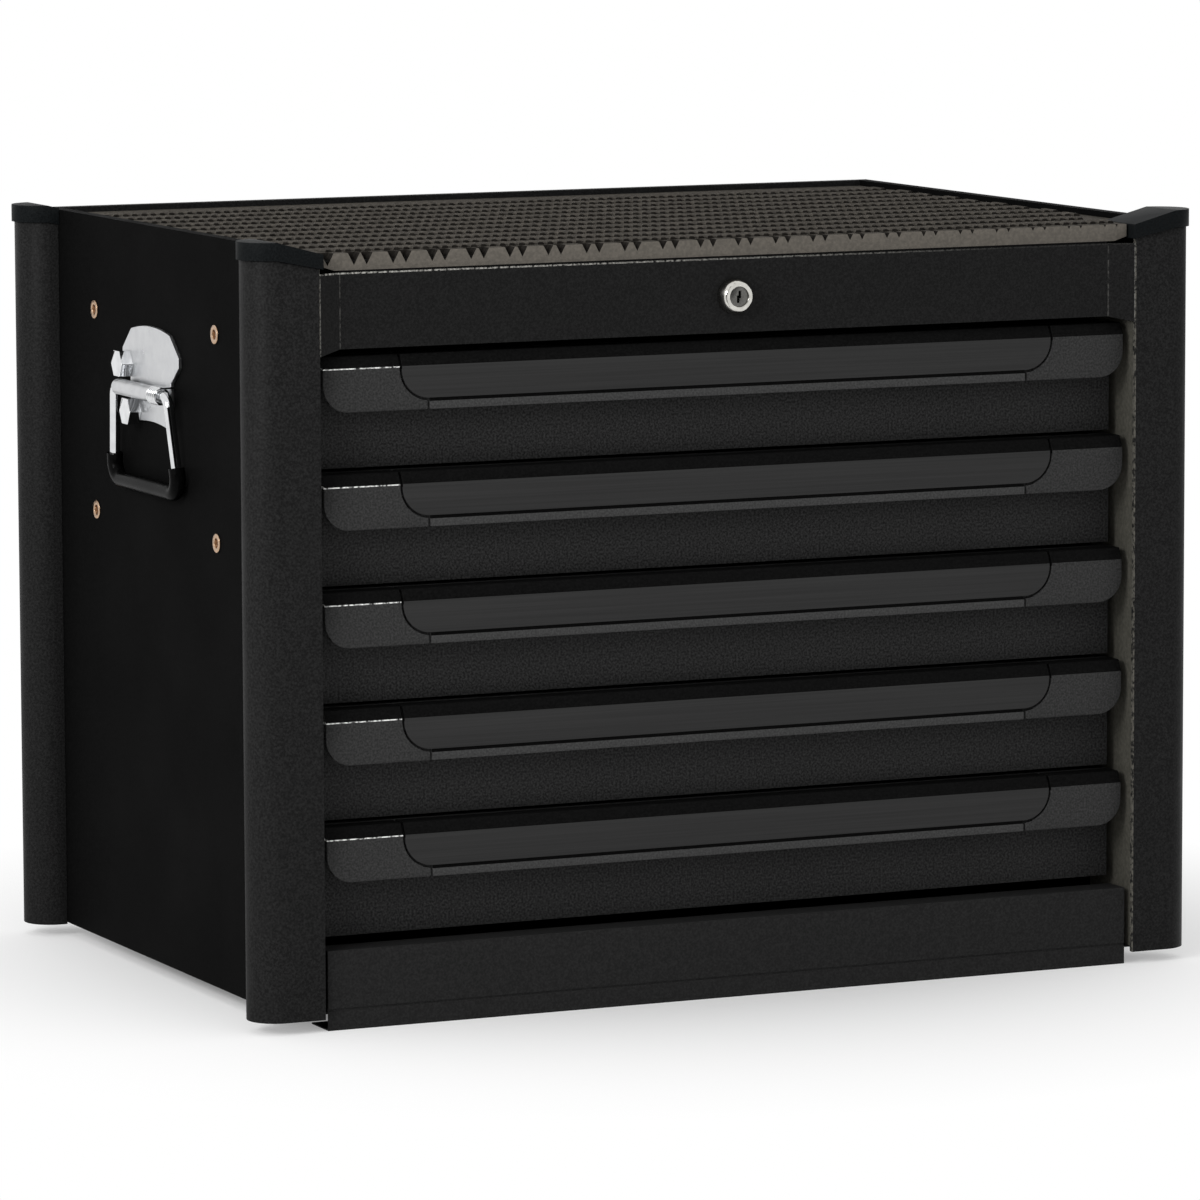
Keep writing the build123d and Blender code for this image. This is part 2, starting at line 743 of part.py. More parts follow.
# Lock: a turned bezel and barrel through the fascia, held by a nut, with a cylinder that turns in its bore.
lock_axis = Axis((0, fascia_y, lock_z), (0, 1, 0))
with BuildPart() as lock_housing:
    with BuildSketch(Plane.XY.offset(lock_z)):
        with BuildLine():
            Polyline(
                (bezel_nose_r, lock_front_y),
                (lock_bore_r, lock_front_y),
                (lock_bore_r, fascia_y + lock_barrel_length),
                (lock_barrel_r, fascia_y + lock_barrel_length),
                (lock_barrel_r, fascia_y),
                (bezel_r, fascia_y),
                (bezel_r, fascia_y - bezel_base),
            )
            TangentArc((bezel_r, fascia_y - bezel_base), (bezel_nose_r, lock_front_y), tangent=(0, -1))
        make_face()
    revolve(axis=lock_axis)
save(lock_housing, "lock_housing")

with BuildPart() as lock_nut:
    with BuildSketch(lock_plane.offset(-sheet)):
        RegularPolygon(lock_nut_flats / 2, 6, major_radius=False)
        Circle(lock_barrel_r + lock_running_gap, mode=Mode.SUBTRACT)
    extrude(amount=-lock_nut_thick)
save(lock_nut, "lock_nut")

with BuildPart() as lock_cylinder:
    with BuildSketch(lock_plane.offset(bezel_proud - lock_face_recess)):
        Circle(lock_bore_r - lock_running_gap)
    extrude(amount=lock_face_recess - bezel_proud - lock_barrel_length - lock_tail)
    with BuildSketch(lock_plane.offset(bezel_proud - lock_face_recess)):
        for side in (-1, 1):
            with Locations((side * keyway_jog, side * (keyway_height - keyway_width) / 2)):
                Rectangle(keyway_width, keyway_height)
    extrude(amount=-keyway_depth, mode=Mode.SUBTRACT)
save(lock_cylinder, "lock_cylinder")

# Lock rod: runs back from the cylinder to a crank, whose pin moves the lock bar.
with BuildPart() as lock_rod:
    with BuildSketch(Plane(origin=(0, lock_tail_y, lock_z), x_dir=(1, 0, 0), z_dir=(0, -1, 0))):
        Circle(rod_r)
    extrude(amount=lock_tail_y - crank_y)
    crank_plane = Plane(origin=(0, crank_y, lock_z), x_dir=(1, 0, 0), z_dir=(0, -1, 0))
    with BuildSketch(crank_plane):
        SlotCenterPoint((crank_reach / 2, crank_rise / 2), (crank_reach, crank_rise), crank_width)
    extrude(amount=crank_thick)
    with BuildSketch(crank_plane):
        with Locations((crank_reach, crank_rise)):
            Circle(crank_pin_r)
    extrude(amount=-crank_gap - bar_thick - bar_edge)
save(lock_rod, "lock_rod")

# Lock bar: a strip behind the drawers with a slot for the crank's pin, and for each drawer an arm with a
# finger that drops inside the tray's back wall.
bar_face_y = (bar_y, bar_y + bar_thick)
slot_half_z = crank_pin_r + crank_slot_gap
slot_x = (crank_reach - slot_half_z, crank_length + slot_half_z)
slot_z = (lock_z + crank_rise - slot_half_z, lock_z + crank_rise + slot_half_z)
with BuildPart() as lock_bar:
    slab(both_ways(bar_half), bar_face_y, (drawer_low_z + tray_top, slot_z[1] + bar_edge))
    slab((0, slot_x[1] + bar_edge), bar_face_y, (slot_z[0] - bar_edge, slot_z[1] + bar_edge))
    slab(slot_x, bar_face_y, slot_z, mode=Mode.SUBTRACT)
    for number in drawer_numbers:
        tray_edge_z = drawer_z(number) + tray_top
        arm_z = tray_edge_z + 2 * crank_rise + finger_rest
        slab(
            both_ways(finger_half),
            (finger_y - finger_thick, finger_y),
            (tray_edge_z + finger_gap, arm_z),
        )
        slab(both_ways(finger_half), (finger_y - finger_thick, bar_y), (arm_z, arm_z + finger_arm))
save(lock_bar, "lock_bar")

# Lock guides: two blocks on the back panel that the bar slides in, and a hanger for the rod under the top.
hanger_y = tray_back_y - hanger_setback
with BuildPart() as lock_guides:
    for number in (1, drawer_count - 1):
        guide_low_z = drawer_z(number) + guide_lift
        guide_z = (guide_low_z, guide_low_z + guide_height)
        slab(both_ways(guide_half), (bar_y - guide_gap - guide_wall, back_inner_y), guide_z)
        slab(
            both_ways(bar_half + guide_gap),
            (bar_y - guide_gap, bar_y + bar_thick + guide_gap),
            guide_z,
            mode=Mode.SUBTRACT,
        )
    slab(
        both_ways(hanger_width / 2),
        (hanger_y, hanger_y + hanger_thick),
        (lock_z - hanger_below, top_under_z),
    )
    with BuildSketch(Plane(origin=(0, hanger_y, lock_z), x_dir=(1, 0, 0), z_dir=(0, -1, 0))):
        Circle(rod_r + lock_running_gap)
    extrude(amount=-hanger_thick, mode=Mode.SUBTRACT)
save(lock_guides, "lock_guides")

# Handle bracket: a chromed plate with a rolled barrel across it for the bail's ends.
with BuildPart() as right_handle_bracket:
    with BuildSketch(handle_plane):
        with BuildLine():
            ThreePointArc(
                (-handle_top_half, handle_top_z),
                (0, handle_top_z + handle_crown),
                (handle_top_half, handle_top_z),
            )
            Polyline(
                (handle_top_half, handle_top_z),
                (handle_shield_half, handle_shield_high),
                (handle_shield_half, handle_shield_low),
                (handle_waist_half, handle_waist_z),
                (handle_waist_half, -handle_bottom_z),
            )
            ThreePointArc(
                (handle_waist_half, -handle_bottom_z),
                (0, handle_hollow - handle_bottom_z),
                (-handle_waist_half, -handle_bottom_z),
            )
            Polyline(
                (-handle_waist_half, -handle_bottom_z),
                (-handle_waist_half, handle_waist_z),
                (-handle_shield_half, handle_shield_low),
                (-handle_shield_half, handle_shield_high),
                (-handle_top_half, handle_top_z),
            )
        make_face()
        with Locations(bolt_places):
            Circle(bolt_r + bolt_hole_gap, mode=Mode.SUBTRACT)
    extrude(amount=handle_plate)
    slab(
        (side_x + handle_plate, pivot_x),
        (handle_y - barrel_front, handle_y + barrel_rear),
        (handle_pivot_z - barrel_web / 2, handle_pivot_z + barrel_web / 2),
    )
    barrel_plane = Plane(
        origin=(pivot_x, handle_y - barrel_front, handle_pivot_z), x_dir=(1, 0, 0), z_dir=(0, 1, 0)
    )
    with BuildSketch(barrel_plane):
        Circle(barrel_r)
    extrude(amount=barrel_front + barrel_rear)
    with BuildSketch(barrel_plane):
        Circle(bail_r + bail_running_gap)
    extrude(amount=barrel_front + barrel_rear, mode=Mode.SUBTRACT)
save(right_handle_bracket, "right_handle_bracket")

# Bail: one bent rod whose two ends turn in the barrel, and a rubber grip moulded round its bottom corners.
lean = math.radians(bail_lean)
bail_plane = Plane(
    origin=(pivot_x, handle_y, handle_pivot_z), x_dir=(0, 1, 0), z_dir=(math.cos(lean), 0, -math.sin(lean))
)
leg_step = (bail_bottom_half - bail_top_half) / bail_drop
grip_top_half = bail_bottom_half - leg_step * grip_leg
with BuildPart() as right_bail:
    with BuildLine(bail_plane) as bail_line:
        FilletPolyline(
            (barrel_rear - bail_seat, 0),
            (bail_top_half, 0),
            (bail_bottom_half, -bail_drop),
            (-bail_bottom_half, -bail_drop),
            (-bail_top_half, 0),
            (bail_seat - barrel_front, 0),
            radius=[bail_shoulder_r, bail_corner_r, bail_corner_r, bail_shoulder_r],
        )
    with BuildSketch(Plane(origin=bail_line.line @ 0, z_dir=bail_line.line % 0)):
        Circle(bail_r)
    sweep()
save(right_bail, "right_bail")

with BuildPart() as right_grip:
    with BuildLine(bail_plane) as grip_line:
        FilletPolyline(
            (grip_top_half, grip_leg - bail_drop),
            (bail_bottom_half, -bail_drop),
            (-bail_bottom_half, -bail_drop),
            (-grip_top_half, grip_leg - bail_drop),
            radius=bail_corner_r,
        )
    with BuildSketch(Plane(origin=grip_line.line @ 0, z_dir=grip_line.line % 0)):
        Circle(grip_r)
        Circle(bail_r + grip_bore_gap, mode=Mode.SUBTRACT)
    sweep()
save(right_grip, "right_grip")

# Spring: a coil round the bail's front end, made as quarter turns of two arcs each, with both ends run
# straight to the bracket's plate and the side panel.
coil_start_y = handle_y - barrel_front - spring_end_gap - spring_wire_r
quarter_count = 4 * spring_turns + 2


def coil_point(quarter):
    """Point and direction on the coil's centre line, in quarter turns from its low start."""
    turn = (quarter - 1) * math.pi / 2
    point = Vector(
        pivot_x + spring_coil_r * math.cos(turn),
        coil_start_y - spring_pitch * quarter / 4,
        handle_pivot_z + spring_coil_r * math.sin(turn),
    )
    climb = 0 if quarter in (0, quarter_count) else -spring_pitch / (2 * math.pi)
    direction = Vector(-spring_coil_r * math.sin(turn), climb, spring_coil_r * math.cos(turn))
    return point, direction.normalized()


def arc_pair(start, start_way, end, end_way):
    """Join two points and their directions by two arcs that meet smoothly."""
    chord = end - start
    ways = start_way + end_way
    spread = 2 * (1 - start_way.dot(end_way))
    along = chord.dot(ways)
    reach = (math.sqrt(along**2 + spread * chord.dot(chord)) - along) / spread
    near = start + start_way * reach
    far = end - end_way * reach
    middle = (near + far) / 2
    TangentArc(start, middle, tangent=start_way)
    TangentArc(middle, end, tangent=(far - near).normalized())


with BuildPart() as right_spring:
    with BuildLine() as spring_line:
        first, _ = coil_point(0)
        last, _ = coil_point(quarter_count)
        Line((side_x + handle_plate, first.Y, first.Z), first)
        for quarter in range(quarter_count):
            arc_pair(*coil_point(quarter), *coil_point(quarter + 1))
        Line(last, (side_x, last.Y, last.Z))
    with BuildSketch(Plane(origin=spring_line.line @ 0, z_dir=spring_line.line % 0)):
        Circle(spring_wire_r)
    sweep()
save(right_spring, "right_spring")

wire = spring_line.wire()
wire_steps = spring_samples * quarter_count
wire_points = [wire @ (step / wire_steps) for step in range(wire_steps + 1)]
half_turn_steps = int(math.pi * spring_coil_r * wire_steps / wire.length)
nearest = min(
    (point - other).length
    for index, point in enumerate(wire_points)
    for other in wire_points[index + half_turn_steps :]
)
print(f"spring: least gap between turns {nearest - 2 * spring_wire_r:.2f} mm")

# Handle bolts and nuts: hex bolts through the bracket and the side panel, with nuts inside.
with BuildPart() as handle_bolts:
    with BuildSketch(handle_plane.offset(handle_plate)):
        with Locations(bolt_places):
            RegularPolygon(bolt_flats / 2, 6, major_radius=False)
    extrude(amount=bolt_head)
    with BuildSketch(handle_plane.offset(handle_plate)):
        with Locations(bolt_places):
            Circle(bolt_r)
    extrude(amount=-handle_plate - sheet - bolt_tail)
    mirror(about=Plane.YZ)
save(handle_bolts, "handle_bolts")

with BuildPart() as handle_nuts:
    with BuildSketch(handle_plane.offset(-sheet)):
        with Locations(bolt_places):
            RegularPolygon(bolt_flats / 2, 6, major_radius=False)
        with Locations(bolt_places):
            Circle(bolt_r + lock_running_gap, mode=Mode.SUBTRACT)
    extrude(amount=-bolt_nut)
    mirror(about=Plane.YZ)
save(handle_nuts, "handle_nuts")

# Rivet nuts: flanged threaded inserts clinched in the side panel around the handle.
with BuildPart() as right_rivet_nuts:
    with BuildSketch(nut_plane):
        with GridLocations(nut_span_y, nut_span_z, 2, 2):
            Circle(nut_flange_r)
    extrude(amount=nut_flange)
    with BuildSketch(nut_plane):
        with GridLocations(nut_span_y, nut_span_z, 2, 2):
            Circle(nut_barrel_r)
    extrude(amount=-nut_length)
    with BuildSketch(nut_plane.offset(nut_flange)):
        with GridLocations(nut_span_y, nut_span_z, 2, 2):
            Circle(nut_bore_r)
    extrude(amount=-nut_flange - nut_length, mode=Mode.SUBTRACT)
save(right_rivet_nuts, "right_rivet_nuts")

# The left side's handle and rivet nuts mirror the right side's.
for piece, name in (
    (right_handle_bracket, "left_handle_bracket"),
    (right_bail, "left_bail"),
    (right_grip, "left_grip"),
    (right_spring, "left_spring"),
    (right_rivet_nuts, "left_rivet_nuts"),
):
    with BuildPart() as left_piece:
        mirror(piece.part, about=Plane.YZ)
    save(left_piece, name)
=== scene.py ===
import bmesh
import bpy
import json
import math
from mathutils import Matrix, Vector


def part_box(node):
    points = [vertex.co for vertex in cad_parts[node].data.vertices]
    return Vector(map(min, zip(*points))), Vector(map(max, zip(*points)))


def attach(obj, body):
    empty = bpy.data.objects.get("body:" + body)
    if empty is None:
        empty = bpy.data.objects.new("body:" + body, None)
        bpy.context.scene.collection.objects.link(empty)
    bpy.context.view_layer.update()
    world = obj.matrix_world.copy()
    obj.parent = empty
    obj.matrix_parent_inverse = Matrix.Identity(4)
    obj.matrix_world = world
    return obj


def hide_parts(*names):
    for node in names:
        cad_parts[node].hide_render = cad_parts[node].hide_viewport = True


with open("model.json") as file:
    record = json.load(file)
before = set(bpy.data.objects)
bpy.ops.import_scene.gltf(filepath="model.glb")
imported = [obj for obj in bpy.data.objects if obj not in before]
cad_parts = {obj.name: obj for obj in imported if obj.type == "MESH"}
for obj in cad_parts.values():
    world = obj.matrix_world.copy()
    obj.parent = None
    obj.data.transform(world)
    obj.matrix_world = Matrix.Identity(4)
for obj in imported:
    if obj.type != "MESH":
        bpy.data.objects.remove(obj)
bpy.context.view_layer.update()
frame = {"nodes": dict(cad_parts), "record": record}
nodes = frame["nodes"]
record = frame["record"]

# Cabinet shell: side, back, top and base panels and the rear foot rail, folded from 1.2 mm steel sheet.
# They are spot welded along their flanges and powder coated black, a little thicker over each folded edge.
MM = 0.001
SHEET_EDGE = 0.5  # soft edge that the coat leaves
MERGE = 0.005  # corners of the CAD triangles that are nearer than this are one
FLAT_ANGLE = math.radians(0.5)  # triangles that turn by less than this are one face
SHARP_ANGLE = math.radians(35)  # edges that turn by more than this are rounded
NOISE = (0.3, 0.7)  # where nearly all of a noise lies
SPECKS = (0.36, 0.72)  # noise at which a speck starts and at which it has its full colour
CLOUD = 80.0  # width of the slow changes of gloss
CLOUD_GLOSS = 0.06  # how far they go
PEEL_STRENGTH = 0.6
HIGHLIGHT_SPECK = 2.5  # width of the specks that break up a painted highlight
HIGHLIGHT_SPECKS = (0.38, 0.58)  # noise at which a speck of painted highlight starts and at which it has its full colour
body_of = {node: body for body, group in record["behaviour"]["bodies"].items() for node in group}
pieces = {}


def colour(code):
    """Turn an sRGB hex value into linear red, green, blue and alpha."""
    parts = [int(code[i : i + 2], 16) / 255 for i in (1, 3, 5)]
    return [p / 12.92 if p <= 0.04045 else ((p + 0.055) / 1.055) ** 2.4 for p in parts] + [1.0]


def add(tree, kind, links=None, **settings):
    """Add a shader node with its settings, and set its inputs or link them to sockets or first outputs."""
    made = tree.nodes.new("ShaderNode" + kind)
    for name, value in settings.items():
        setattr(made, name, value)
    for socket, value in (links or {}).items():
        if isinstance(value, bpy.types.Node):
            value = value.outputs[0]
        if isinstance(value, bpy.types.NodeSocket):
            tree.links.new(value, made.inputs[socket])
        else:
            made.inputs[socket].default_value = value
    return made


def new_finish(name):
    """Start a material and return it with its empty tree and its Object coordinates."""
    made = bpy.data.materials.new(name)
    made.use_nodes = True
    tree = made.node_tree
    tree.nodes.clear()
    return made, tree, add(tree, "TexCoord").outputs["Object"]


def tone_between(tree, mask, span, dark, light):
    """Run from a dark to a light colour as the mask goes through a span."""
    share = add(tree, "MapRange", {"Value": mask, "From Min": span[0], "From Max": span[1]})
    return add(tree, "Mix", {0: share, 6: colour(dark), 7: colour(light)}, data_type="RGBA").outputs[2]


def speckled(name, dark, light, grain_mm, roughness, shine, peel_mm, highlight_mask=None, highlight_colour="#000000"):
    """A coat or moulding with a grain of lighter specks, a shallow peel and slow changes of gloss.
    A mask, when one is given, marks where a painted highlight, broken into specks, takes the highlight
    colour."""
    made, tree, place = new_finish(name)
    grain = add(tree, "TexNoise", {"Vector": place, "Scale": 1 / (grain_mm * MM), "Detail": 2.0})
    cloud = add(tree, "TexNoise", {"Vector": place, "Scale": 1 / (CLOUD * MM), "Detail": 3.0})
    glossy, dull = roughness - CLOUD_GLOSS, roughness + CLOUD_GLOSS
    span = {"From Min": NOISE[0], "From Max": NOISE[1], "To Min": glossy, "To Max": dull}
    gloss = add(tree, "MapRange", {"Value": cloud, **span})
    peel = add(tree, "Bump", {"Height": grain, "Strength": PEEL_STRENGTH, "Distance": peel_mm * MM})
    tone = tone_between(tree, grain, SPECKS, dark, light)
    if highlight_mask:
        highlight_specks = add(tree, "TexNoise", {"Vector": place, "Scale": 1 / (HIGHLIGHT_SPECK * MM), "Detail": 3.0})
        highlight_specks = add(tree, "MapRange", {"Value": highlight_specks, "From Min": HIGHLIGHT_SPECKS[0], "From Max": HIGHLIGHT_SPECKS[1]})
        highlit = add(tree, "Math", {0: highlight_mask(tree, place), 1: highlight_specks}, operation="MULTIPLY")
        tone = add(tree, "Mix", {0: highlit, 6: tone, 7: colour(highlight_colour)}, data_type="RGBA").outputs[2]
    looks = {"Base Color": tone, "Roughness": gloss, "Specular IOR Level": shine, "Normal": peel}
    add(tree, "OutputMaterial", {"Surface": add(tree, "BsdfPrincipled", looks)})
    return made


def coat(finish, *names):
    """Give a finish to the pieces that stand for CAD nodes, or to the nodes themselves."""
    for name in names:
        mesh = pieces[name].data if name in pieces else nodes[name].data
        mesh.materials.clear()
        mesh.materials.append(finish)


def stand_for(name, shape):
    """Make a piece from a bmesh, stand it in for a CAD node and let it ride with the node's body."""
    mesh = bpy.data.meshes.new(name + "_piece")
    shape.to_mesh(mesh)
    shape.free()
    mesh.shade_smooth()
    piece = bpy.data.objects.new(name + "_piece", mesh)
    bpy.context.scene.collection.objects.link(piece)
    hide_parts(name)
    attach(piece, body_of[name])
    pieces[name] = piece
    return piece


def soften(piece, edge_mm, segments=2, flat=False):
    """Round a piece's sharp edges. Flat sheets are shaded flat, and on the rest the flat faces stay even."""
    edge = piece.modifiers.new("soft_edge", "BEVEL")
    edge.width = edge_mm * MM
    edge.segments = segments
    edge.limit_method = "ANGLE"
    edge.angle_limit = SHARP_ANGLE
    edge.harden_normals = not flat
    if flat:
        piece.data.shade_flat()


def eased(edge_mm, *names, **rounding):
    """Copy CAD nodes and round their sharp edges."""
    for name in names:
        shape = bmesh.new()
        shape.from_mesh(nodes[name].data)
        bmesh.ops.remove_doubles(shape, verts=shape.verts, dist=MERGE * MM)
        bmesh.ops.dissolve_limit(shape, angle_limit=FLAT_ANGLE, verts=shape.verts, edges=shape.edges)
        soften(stand_for(name, shape), edge_mm, **rounding)


# Polyester powder coat, sprayed and baked: a satin black that goes grey only where light grazes it. On the
# sides its colour is painted darker than the other sheets', as painted shade.
side_coat_painted_shade = speckled(
    "side_powder_coat_painted_shade", "#0a0a0a", "#0f0f0f", grain_mm=1.6, roughness=0.6, shine=0.005, peel_mm=0.04
)
# The sheets behind and between the sides carry the same coat with a bolder grain, in the coat's own paler
# tone.
back_coat = speckled(
    "back_powder_coat", "#151515", "#232323", grain_mm=1.6, roughness=0.55, shine=0.02, peel_mm=0.06
)
sides = ["left_side_panel", "right_side_panel"]
others = ["back_panel", "top_panel", "base_panel", "rear_foot_rail"]
eased(SHEET_EDGE, *sides, *others, flat=True)
coat(side_coat_painted_shade, *sides)
coat(back_coat, *others)

# Corner posts: bent from one sheet with a half round outer side and a narrow edge turned back at the front.
# They are welded to the panels and coated with a coarser powder, with a pale painted highlight along the
# turned edge.
POST_EDGE = 0.45  # under half of the sheet's thickness, so that its rims keep a flat
POST_HIGHLIGHT_WIDTH = 0.5  # width of the bright line on it
LEFT_HIGHLIGHT_ABOVE = 455.0  # foot of the fascia
posts = ["front_left_post", "front_right_post", "rear_left_post", "rear_right_post"]
eased(POST_EDGE, *posts)
post_inner_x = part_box("front_right_post")[0][0]


def post_painted_highlight(tree, place):
    """Where the post's painted highlight lies: the edge that each post turns back, all of it at the right,
    and at the left only beside the fascia.
    """
    axes = add(tree, "SeparateXYZ", {"Vector": place}).outputs
    reach = add(tree, "Math", {0: axes["X"]}, operation="ABSOLUTE")
    edge = add(tree, "Math", {0: reach, 1: post_inner_x + POST_HIGHLIGHT_WIDTH * MM}, operation="LESS_THAN")
    right = add(tree, "Math", {0: axes["X"], 1: 0.0}, operation="GREATER_THAN")
    high = add(tree, "Math", {0: axes["Z"], 1: LEFT_HIGHLIGHT_ABOVE * MM}, operation="GREATER_THAN")
    highlit = add(tree, "Math", {0: right, 1: high}, operation="MAXIMUM")
    return add(tree, "Math", {0: edge, 1: highlit}, operation="MULTIPLY")


# Textured powder coat: fine grey specks on black, with a pale painted highlight along the turned edge.
post_coat = speckled(
    "post_powder_coat",
    "#181818",
    "#272727",
    grain_mm=1.5,
    roughness=0.45,
    shine=0.03,
    peel_mm=0.08,
    highlight_mask=post_painted_highlight,
    highlight_colour="#5c5a54",
)
coat(post_coat, *posts)

# Front structure: uprights that carry the slides, the plinth rail, and the fascia with its slanted ends.
# All are folded sheet, welded between the posts. The uprights keep a thin grey brown primer.
FOLD_X = 288.6  # where each end of the fascia turns forward
FOLD_REACH = 0.5  # half of the painted highlight line on the fold
FOLD_SHARE = 0.07  # how strongly the highlight is painted there, from 0 to 1
END_X = 305.3  # from here to the post
END_SHARE = 0.25
TOP_EDGE = 1.1  # height of the painted highlight on the top edge
TOP_X = (-250.0, 200.0)  # it fades from left to right
TOP_SHARE = (0.7, 0.03)
front_frame = ["front_fascia", "front_plinth", "front_uprights", "rear_uprights"]
eased(SHEET_EDGE, *front_frame, flat=True)
fascia_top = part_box("front_fascia")[1][2]


def fascia_painted_highlights(tree, place):
    """Painted highlights on the fascia's two folds, its ends against the posts and the left part of its top
    edge under the mat.
    """
    axes = add(tree, "SeparateXYZ", {"Vector": place}).outputs
    reach = add(tree, "Math", {0: axes["X"]}, operation="ABSOLUTE")
    fold = add(tree, "Math", {0: reach, 1: FOLD_X * MM, 2: FOLD_REACH * MM}, operation="COMPARE")
    fold = add(tree, "Math", {0: fold, 1: FOLD_SHARE}, operation="MULTIPLY")
    end = add(tree, "Math", {0: reach, 1: END_X * MM}, operation="GREATER_THAN")
    end = add(tree, "Math", {0: end, 1: END_SHARE}, operation="MULTIPLY")
    top = add(tree, "Math", {0: axes["Z"], 1: fascia_top - TOP_EDGE * MM}, operation="GREATER_THAN")
    span = {"From Min": TOP_X[0] * MM, "From Max": TOP_X[1] * MM}
    span |= {"To Min": TOP_SHARE[0], "To Max": TOP_SHARE[1]}
    left = add(tree, "MapRange", {"Value": axes["X"], **span})
    top = add(tree, "Math", {0: top, 1: left}, operation="MULTIPLY")
    upright = add(tree, "Math", {0: fold, 1: end}, operation="MAXIMUM")
    return add(tree, "Math", {0: upright, 1: top}, operation="MAXIMUM")


# Powder coat again, with a pale painted highlight along the top edge and fainter painted highlights along the
# folds and ends.
fascia_coat = speckled(
    "fascia_powder_coat",
    "#181818",
    "#222222",
    grain_mm=1.5,
    roughness=0.5,
    shine=0.03,
    peel_mm=0.06,
    highlight_mask=fascia_painted_highlights,
    highlight_colour="#c9c7c0",
)
coat(fascia_coat, "front_fascia")
# The plinth has the same coat without painted highlights, a shade paler.
plinth_coat = speckled(
    "plinth_powder_coat", "#1f1f1f", "#2a2a2a", grain_mm=1.5, roughness=0.5, shine=0.03, peel_mm=0.06
)
coat(plinth_coat, "front_plinth")
# Epoxy primer: flat, warm and paler than the coat, with drifts where the spray overlapped.
primer = speckled(
    "upright_primer", "#43423c", "#504e48", grain_mm=3.0, roughness=0.7, shine=0.05, peel_mm=0.03
)
coat(primer, "front_uprights", "rear_uprights")

# Post caps: moulded polypropylene, pushed into the posts on a tongue, with softly rounded edges.
# Their top is flat over the post and falls away towards the middle of the chest.
CAP_EDGE = 1.6
eased(CAP_EDGE, "post_caps", segments=3)
# Moulded plastic: bluish black, finely sparked, with enough gloss to draw a light line on each edge.
cap_plastic = speckled(
    "cap_polypropylene", "#0f1112", "#191b1c", grain_mm=1.2, roughness=0.45, shine=0.02, peel_mm=0.05
)
coat(cap_plastic, "post_caps")

# Top mat: a rubber sheet with rows of long low ribs, each row set half a step beside the last.
# It lies loose in the sunk top, and its front edge is an apron notched in pairs.
MAT_EDGE = 0.5
RIB_PITCH_X = 7.0
RIB_PITCH_Y = 38.0
RIB_WIDTH = 4.6
RIB_LENGTH = 20.0
RIB_FRONT = 11.0  # first row's start behind the apron
RIB_HEIGHT = 1.7
RIB_SUNK = 0.3  # foot of each rib inside the sheet
RIB_BEVEL = 0.9
RIB_LINKS = 6  # steps from edge to edge that reach all of a rib
CAP_X = 300.0  # mat is narrower beside the front caps
CAP_Y = -178.0
APRON_DEPTH = 0.3  # faces nearer to the front than this are the apron's
FACING = 0.9  # share of a face's normal that counts as looking one way
mat_low, mat_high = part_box("top_mat")
eased(MAT_EDGE, "top_mat")
rib_shape = bmesh.new()
bmesh.ops.create_cube(rib_shape, size=1.0)
rib_size = (RIB_WIDTH * MM, RIB_LENGTH * MM, (RIB_HEIGHT + RIB_SUNK) * MM)
bmesh.ops.scale(rib_shape, vec=rib_size, verts=rib_shape.verts)
rib_top_edges = [e for e in rib_shape.edges if all(v.co.z > 0 for v in e.verts)]
bmesh.ops.bevel(
    rib_shape, geom=rib_top_edges, offset=RIB_BEVEL * MM, affect="EDGES", segments=1, profile=0.5, material=-1
)
# Both ends of each rib take the second material, the painted shade.
for face in rib_shape.faces:
    face.material_index = int(abs(face.normal.y) > 0.5)


def repeat(shape, steps):
    """Repeat all of a shape at each step and drop the first one."""
    first = shape.verts[:] + shape.edges[:] + shape.faces[:]
    for step in steps:
        copied = bmesh.ops.duplicate(shape, geom=first)["geom"]
        moved = [part for part in copied if isinstance(part, bmesh.types.BMVert)]
        bmesh.ops.translate(shape, verts=moved, vec=step)
    old = [part for part in first if isinstance(part, bmesh.types.BMVert)]
    bmesh.ops.delete(shape, geom=old, context="VERTS")


rib_count = int(2 * mat_high[0] / (RIB_PITCH_X * MM)) - 1
row_count = int((mat_high[1] - mat_low[1] - RIB_FRONT * MM) / (RIB_PITCH_Y * MM))
rib_z = mat_high[2] + (RIB_HEIGHT - RIB_SUNK) / 2 * MM
repeat(rib_shape, [((step - (rib_count - 1) / 2) * RIB_PITCH_X * MM, 0, 0) for step in range(rib_count)])
row_steps = []
for row in range(row_count):
    side_step = (row % 2 - 0.5) / 2 * RIB_PITCH_X * MM
    row_y = mat_low[1] + (RIB_FRONT + RIB_LENGTH / 2 + row * RIB_PITCH_Y) * MM
    row_steps.append((side_step, row_y, rib_z))
repeat(rib_shape, row_steps)
beside_caps = {v for v in rib_shape.verts if abs(v.co.x) > CAP_X * MM and v.co.y < CAP_Y * MM}
for _ in range(RIB_LINKS):
    beside_caps |= {edge.other_vert(v) for v in beside_caps for edge in v.link_edges}
bmesh.ops.delete(rib_shape, geom=list(beside_caps), context="VERTS")
rib_mesh = bpy.data.meshes.new("mat_ribs")
rib_shape.to_mesh(rib_mesh)
rib_shape.free()
mat_ribs = bpy.data.objects.new("mat_ribs", rib_mesh)
bpy.context.scene.collection.objects.link(mat_ribs)
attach(mat_ribs, "cabinet")
# Nitrile rubber: a dusty grey brown. The ends of the ribs are painted sooty black as painted shade.
mat_rubber = speckled(
    "mat_rubber", "#3d3a36", "#524e48", grain_mm=5.0, roughness=0.8, shine=0.02, peel_mm=0.15
)
rib_painted_shade = speckled(
    "rib_painted_shade", "#191715", "#272522", grain_mm=3.0, roughness=0.8, shine=0.02, peel_mm=0.1
)
rib_mesh.materials.append(mat_rubber)
rib_mesh.materials.append(rib_painted_shade)
coat(mat_rubber, "top_mat")
